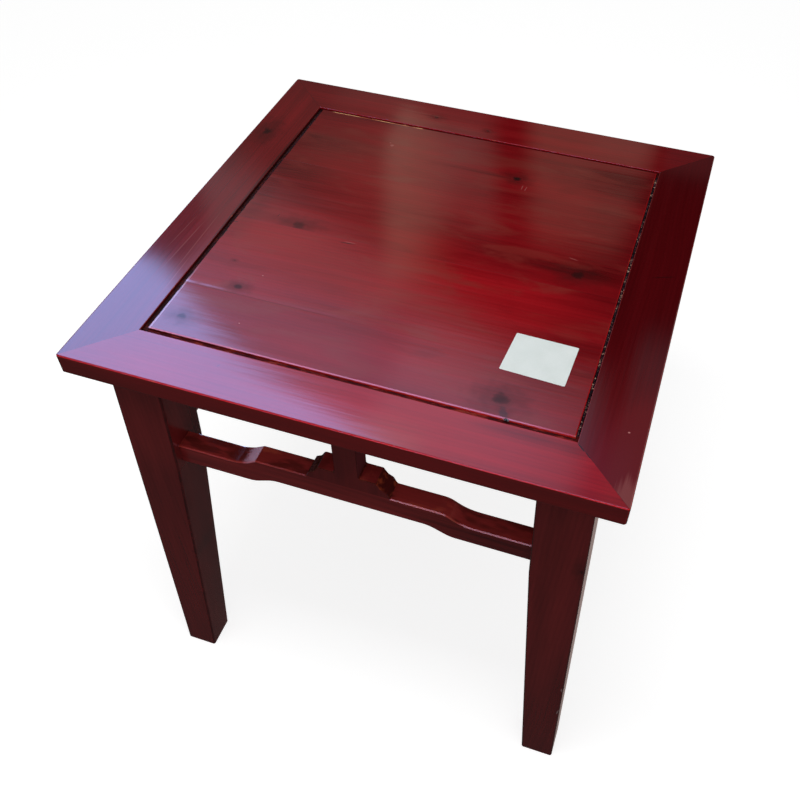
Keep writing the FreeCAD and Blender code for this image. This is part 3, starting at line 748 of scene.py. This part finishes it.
def fill_grooves():
    """Residue of a width and a height all round, in colours given from dark to light, and two crumbs."""
    left, right, front, back = (FIELD[side] for side in ("left", "right", "front", "back"))
    middle = {"left": (left - RAIL_INNER) / 2, "right": (right + RAIL_INNER) / 2,
              "front": (front - RAIL_INNER) / 2, "back": (back + RAIL_INNER) / 2}
    brown, rust, tan = (0.014, 0.004, 0.003), (0.07, 0.010, 0.006), (0.40, 0.26, 0.18)
    groove_residue("groove_residue_right",
                   (middle["right"], front + 4 * MM), (middle["right"], back - 6 * MM),
                   3.4 * MM, 3.0 * MM, 3.3, ((0.008, 0.004, 0.005), (0.055, 0.018, 0.022), tan))
    groove_residue("groove_residue_left",
                   (middle["left"], front - 2 * MM), (middle["left"], back - 2 * MM),
                   6.4 * MM, 0.5 * MM, 1.7, (brown, (0.035, 0.006, 0.005), rust))
    groove_residue("groove_residue_front",
                   (left + 1 * MM, middle["front"]), (right - 2 * MM, middle["front"]),
                   7.0 * MM, 0.5 * MM, 8.2,
                   ((0.030, 0.003, 0.003), (0.075, 0.006, 0.005), (0.16, 0.020, 0.012)), fineness=(70, 380, 380))
    groove_residue("groove_residue_back",
                   (left + 12 * MM, middle["back"]), (-95 * MM, middle["back"]),
                   3.0 * MM, 3.4 * MM, 5.1, ((0.10, 0.012, 0.010), (0.32, 0.12, 0.06), (0.45, 0.27, 0.13)))
    groove_residue("groove_residue_back_right",
                   (-90 * MM, middle["back"]), (right - 3 * MM, middle["back"]),
                   3.0 * MM, 0.8 * MM, 6.4, (brown, rust, (0.16, 0.02, 0.012)))
    groove_crumb("crumb_front", (198 * MM, front - 0.7 * MM, PANEL_TOP - 0.9 * MM),
                 (3.0 * MM, 2.0 * MM, 0.9 * MM), 2.0, (0.42, 0.46, 0.56))
    groove_crumb("crumb_back", (109.6 * MM, back - 0.4 * MM, PANEL_TOP - 0.8 * MM),
                 (2.6 * MM, 1.6 * MM, 0.7 * MM), 4.0, (0.10, 0.02, 0.02))


# ---- stage, lights and camera ----

def make_floor():
    """A round floor that turns up into a wall far away. Views down to 5 degrees below level end on it."""
    flat, bend, wall_top, steps = 3.5, 1.5, 4.0, 96
    profile = [(flat, 0)]
    profile += [(flat + bend * math.sin(turn), bend - bend * math.cos(turn))
                for turn in (math.radians(9 * n) for n in range(1, 11))]
    profile.append((flat + bend, wall_top))
    work = bmesh.new()
    rings = []
    for reach, height in profile:
        ring = [work.verts.new((reach * math.cos(a), reach * math.sin(a), height))
                for a in (2 * math.pi * n / steps for n in range(steps))]
        rings.append(ring)
    middle = work.verts.new((0, 0, 0))
    for n in range(steps):
        following = (n + 1) % steps
        work.faces.new((middle, rings[0][n], rings[0][following]))
        for inner, outer in zip(rings, rings[1:]):
            work.faces.new((inner[n], outer[n], outer[following], inner[following]))
    floor = add_mesh("floor", work)
    polygons = floor.data.polygons
    polygons.foreach_set("use_smooth", [True] * len(polygons))
    material, g = new_material("floor")
    paper = g.node("BsdfDiffuse", {"Color": (0.55, 0.55, 0.55)})
    glow = g.node("Emission", {"Color": (1, 1, 1), "Strength": 0.78})
    both = g.node("AddShader", {0: paper.outputs[0], 1: glow.outputs[0]})
    g.node("OutputMaterial", {"Surface": both.outputs[0]})
    floor.data.materials.append(material)
    floor.visible_glossy = False
    floor.visible_diffuse = False


def area_light(name, at, aim, size, power):
    light = bpy.data.lights.new(name, "AREA")
    light.shape = "RECTANGLE"
    light.size, light.size_y = size
    light.energy = power
    lamp = add_object(name, light)
    lamp.location = at
    lamp.rotation_euler = (Vector(aim) - Vector(at)).to_track_quat("-Z", "Y").to_euler()
    lamp.visible_camera = False
    return lamp


def make_camera():
    """The camera stands to the right of the front, above head height, and looks down at the top."""
    photo_side = 800
    focal_pixels = 894.58
    principal = (440.19, 412.92)
    azimuth, elevation, roll = (math.radians(angle) for angle in (17.97, 48.72, 0.81))
    data = bpy.data.cameras.new("camera")
    data.sensor_width = 36
    data.lens = focal_pixels / photo_side * data.sensor_width
    data.shift_x = (photo_side / 2 - principal[0]) / photo_side
    data.shift_y = (principal[1] - photo_side / 2) / photo_side
    camera = add_object("camera", data)
    level = Matrix.Rotation(azimuth, 3, "Z") @ Matrix.Rotation(math.pi / 2 - elevation, 3, "X")
    camera.rotation_euler = (level @ Matrix.Rotation(roll, 3, "Z")).to_euler()
    camera.location = (0.33584, -0.95380, 1.53947)
    SCENE.camera = camera


def make_ceiling():
    """A wide reflector over the table that only the lacquer's gloss sees.

    Its glows are drawn at the size that they have in the top's mirror image, where a point (x, y) of the
    reflector lies at (x, y) / spread + middle. Each glow is cut by straight edges, given by a point, an
    angle in degrees and a softness, with the lit side to the left of the angle. The softboxes, which
    shine on the arrises, are given by their place on the reflector itself.
    """
    height, reach = 2.75, 4.2
    spread, middle = 3.533, (0.2408, -0.6838)
    work = bmesh.new()
    corners = ((-1, 1), (1, 1), (1, -1), (-1, -1))
    work.faces.new([work.verts.new((x * reach, y * reach, height)) for x, y in corners])
    ceiling = add_mesh("ceiling", work)
    material, g = new_material("ceiling")
    far_x, far_y, _ = g.parts(g.node("TexCoord").outputs["Object"])
    x = g.add(g.times(far_x, 1 / spread), middle[0])
    y = g.add(g.times(far_y, 1 / spread), middle[1])

    def cut(point, angle, soft):
        inward = g.along(g.minus(x, point[0]), g.minus(y, point[1]), angle + 90)
        return g.rise(inward, -soft, soft)

    def lit(*edges):
        return g.times(1.0, *(cut(*edge) for edge in edges))

    bend = g.spot(x, y, (0.075, 0.170), (0.506, 0.506))       # the window's round edge, over the left rail
    window = g.times(g.rise(bend, 0.945, 1.045),
                     lit(((-0.315, -0.166), 153, 0.028), ((0.085, 0), 90, 0.12), ((0.0, 0.05), 180, 0.05)))
    total = g.mix(window, (0, 0, 0), (1.45, 2.45, 5.5))
    glows = [
        # over the front rail and the front of the panel
        ((0.32, 0.37, 0.74), (((0.0, -0.190), 165, 0.075), ((0.30, 0), 90, 0.09))),
        ((0.36, 0.33, 0.38), (((-0.03, -0.065), 154, 0.055), ((0.24, 0), 90, 0.10))),
        # over the left half
        ((0.115, 0.105, 0.095), (((0.0, 0), 90, 0.03),)),
        ((0.05, 0.07, 0.05), (((-0.26, 0), -90, 0.03), ((-0.10, 0), 90, 0.02), ((0, 0.10), 0, 0.02),
                              ((0, 0.225), 180, 0.02))),
        ((0.06, 0.07, 0.06), (((-0.275, 0), -90, 0.02), ((-0.130, 0), 90, 0.02), ((0, 0.295), 0, 0.02))),
        # the two slanting bands in the middle
        ((0.44, 0.39, 0.29), (((-0.105, 0.120), -69.5, 0.018), ((0.002, 0.012), 107, 0.048),
                              ((0, -0.07), 0, 0.06), ((-0.152, 0), -90, 0.012),
                              ((-0.100, 0.315), 149, 0.012), ((0, 0.328), 180, 0.008))),
        ((0.10, 0.18, 0.16), (((-0.025, 0.12), -73, 0.04), ((0.032, 0.24), 107, 0.020), ((0, 0.05), 0, 0.06),
                              ((0, 0.305), 180, 0.02))),
        # over the right half and the right rail
        ((0.25, 0.22, 0.17), (((0.097, 0.22), -75, 0.022), ((0.262, 0), 90, 0.022), ((0, 0.065), 0, 0.05))),
        ((0.05, 0.06, 0.05), (((0.17, 0), -90, 0.03), ((0.272, 0), 90, 0.006), ((0, 0.285), 0, 0.02))),
        ((0.24, 0.31, 0.36), (((0.045, 0), -90, 0.022), ((0, -0.180), 180, 0.055), ((0.295, 0), 90, 0.02))),
        ((0.05, 0.06, 0.06), (((0.285, 0), -90, 0.01), ((0, 0.290), 0, 0.02))),
        ((0.08, 0.15, 0.17), (((0.325, 0), -90, 0.015), ((0, -0.09), 180, 0.05))),
        # along the front edge
        ((0.12, 0.34, 0.22), (((0.010, 0), -90, 0.02), ((0.115, 0), 90, 0.02), ((0, -0.331), 180, 0.008))),
    ]
    for colour, edges in glows:
        total = g.mix(1.0, total, g.mix(lit(*edges), (0, 0, 0), colour), blend="ADD")
    # a shaded patch over the left rail and a dark bar over the back right of the panel
    shaded = lit(((-0.310, -0.055), 127, 0.02), ((-0.298, 0), 90, 0.010), ((0, -0.150), 0, 0.02))
    total = g.mix(g.times(shaded, 0.85), total, (0.05, 0.10, 0.14))
    bar = lit(((0.185, 0), -90, 0.02), ((0.265, 0), 90, 0.01), ((0, 0.224), 0, 0.012),
              ((0, 0.258), 180, 0.010))
    total = g.mix(g.times(bar, 0.85), total, (0.03, 0.02, 0.02))
    # nothing of it beyond the top, where the stretchers would mirror it
    over_top = lit(((0, -0.43), 0, 0.03), ((-0.42, 0), -90, 0.02))
    total = g.mix(over_top, (0, 0, 0), total)
    softboxes = (
        ((0.20, -0.50), (0.50, 0.40), 0.12, (3.0, 2.4, 4.2)),     # on the front arris, right half
        ((-1.30, -2.72), (1.30, 0.20), 0.25, (6.0, 5.0, 9.0)),    # on the panel's front arris
        ((0.20, -3.78), (1.40, 0.25), 0.15, (3.8, 3.0, 4.2)),     # on the front stretcher's arris
        ((2.2, -1.9), (0.9, 0.7), 0.35, (1.1, 1.05, 1.0)),        # on the right side, for other views
        ((2.3, 1.8), (1.0, 1.0), 0.35, (1.1, 1.05, 1.0)),
    )
    for centre, half, soft, colour in softboxes:
        sides = [g.rise(g.size(g.minus(at, centre_at)), half_at + soft, half_at - soft)
                 for at, centre_at, half_at in zip((far_x, far_y), centre, half)]
        total = g.mix(1.0, total, g.mix(g.times(*sides), (0, 0, 0), colour), blend="ADD")
    glow = g.node("Emission", {"Color": total, "Strength": 1.0})
    g.node("OutputMaterial", {"Surface": glow.outputs[0]})
    ceiling.data.materials.append(material)
    ceiling.visible_camera = False
    ceiling.visible_diffuse = False
    ceiling.visible_shadow = False


def make_world():
    """Soft light from all round, more of it from above the front and from the right. The gloss sees a
    dimmer room instead: a light horizon, a pale wall at the left, a low window behind at the left and a
    warm patch straight behind the table."""
    world = bpy.data.worlds.new("studio")
    world.use_nodes = True
    g = Graph(world.node_tree)
    x, y, z = g.parts(g.node("TexCoord").outputs["Generated"])
    above_front = g.add(g.times(y, -0.6), g.times(z, 0.8))
    even = g.add(0.09, g.times(g.rise(above_front, 0.1, 0.9), 0.34), g.times(g.rise(x, 0, 0.8), 0.20))
    horizon = g.times(g.rise(g.size(z), 0.30, 0.05), 0.12)
    left_wall = g.times(g.rise(x, -0.6, -0.8), g.rise(g.size(z), 0.32, 0.15), 1.5)
    low_window = g.times(g.rise(x, -0.30, -0.40), g.rise(y, 0.40, 0.50), g.rise(y, 0.735, 0.705),
                         g.rise(z, -0.45, -0.49), g.rise(z, -0.62, -0.585))
    behind = g.times(g.rise(y, 0.15, 0.5), g.rise(z, 0.05, -0.2), g.rise(g.size(x), 0.11, 0.06))
    in_gloss = g.add(0.04, horizon)
    for share, colour in ((left_wall, (0.9, 0.75, 1.2)), (behind, (0.62, 0.46, 0.42)),
                          (low_window, (3.2, 3.8, 7.0))):
        in_gloss = g.mix(1.0, in_gloss, g.mix(share, (0, 0, 0), colour), blend="ADD")
    is_glossy = g.node("LightPath").outputs["Is Glossy Ray"]
    sky = g.node("Background", {"Color": g.mix(is_glossy, even, in_gloss), "Strength": 1.0})
    g.node("OutputWorld", {"Surface": sky.outputs[0]})
    SCENE.world = world


def make_lights():
    SCENE.view_settings.view_transform = "Standard"
    make_world()
    make_ceiling()
    key = area_light("key", (0.0, -0.38, 2.0), (0.0, -0.10, 0.75), (0.8, 0.5), 15)
    key.visible_glossy = False


make_camera()
make_floor()
make_lights()
dress_rails()
dress_panel()
dress_base()
make_label()
fill_grooves()
